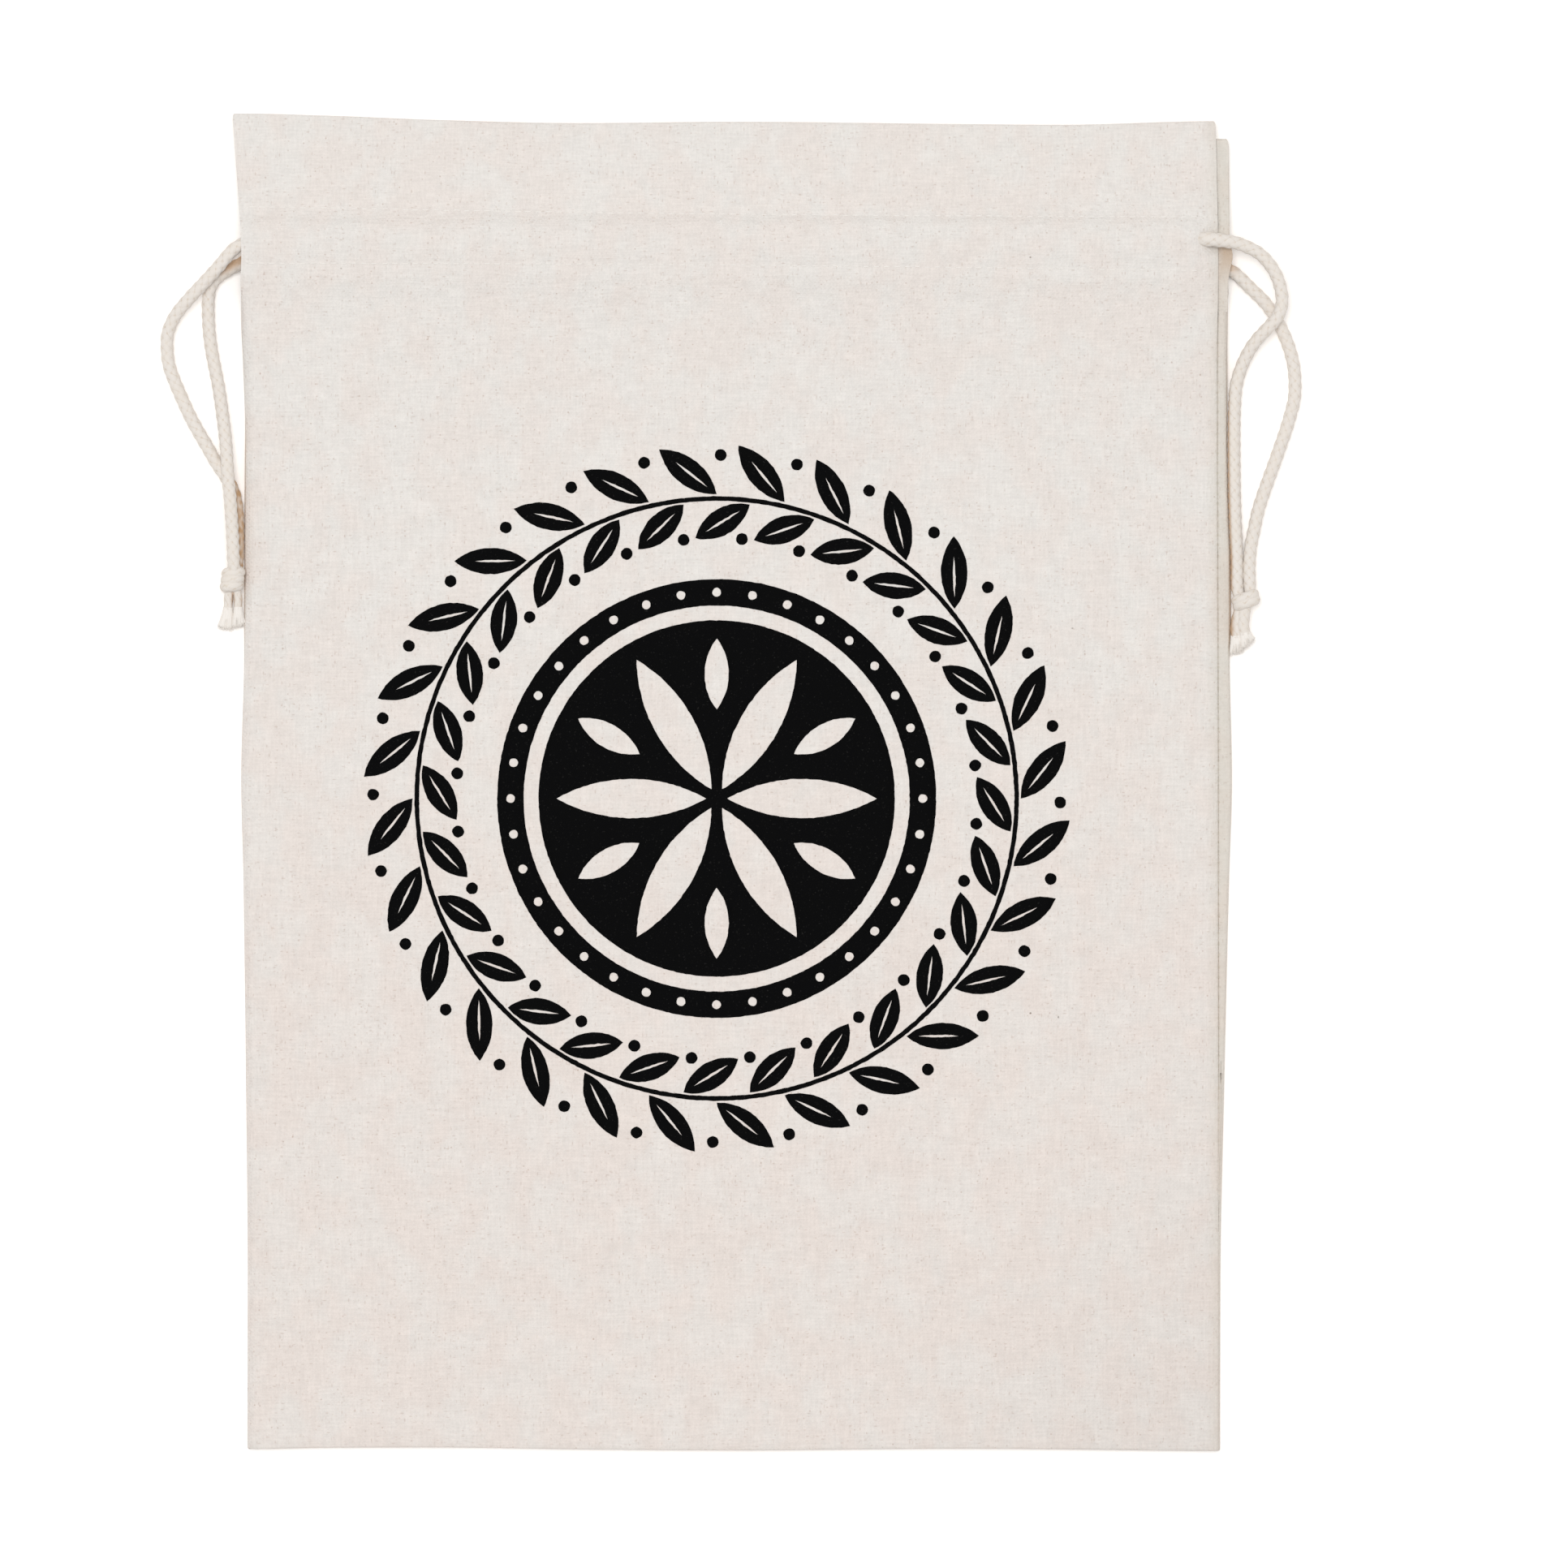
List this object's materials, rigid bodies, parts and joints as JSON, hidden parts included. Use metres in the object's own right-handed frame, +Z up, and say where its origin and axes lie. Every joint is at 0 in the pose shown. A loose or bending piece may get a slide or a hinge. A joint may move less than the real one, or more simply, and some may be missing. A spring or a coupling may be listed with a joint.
{
  "type": "drawstring bread bag",
  "caption": "Flat drawstring bread bag in natural linen-look cloth with a hemmed mouth, a cord channel and knotted drawcords at both sides.",
  "frame": {"origin": "middle of the bag's underside, on the surface that it lies on", "axes": "+Z up out of the front panel, +Y towards the mouth, +X to the right seen from above the front"},
  "size_m": [0.346, 0.4054, 0.0101],
  "materials": {
    "linen_cloth": "matte",
    "cotton_cord": "matte",
    "black_print": "matte"
  },
  "bodies": {
    "root": {"back_panel": "linen_cloth", "front_panel": "linen_cloth", "cord_front_run": "cotton_cord", "cord_back_run": "cotton_cord", "strand_left_front": "cotton_cord", "strand_left_back": "cotton_cord", "strand_right_front": "cotton_cord", "strand_right_back": "cotton_cord", "knot_left": "cotton_cord", "knot_right": "cotton_cord"}
  },
  "joints": []
}
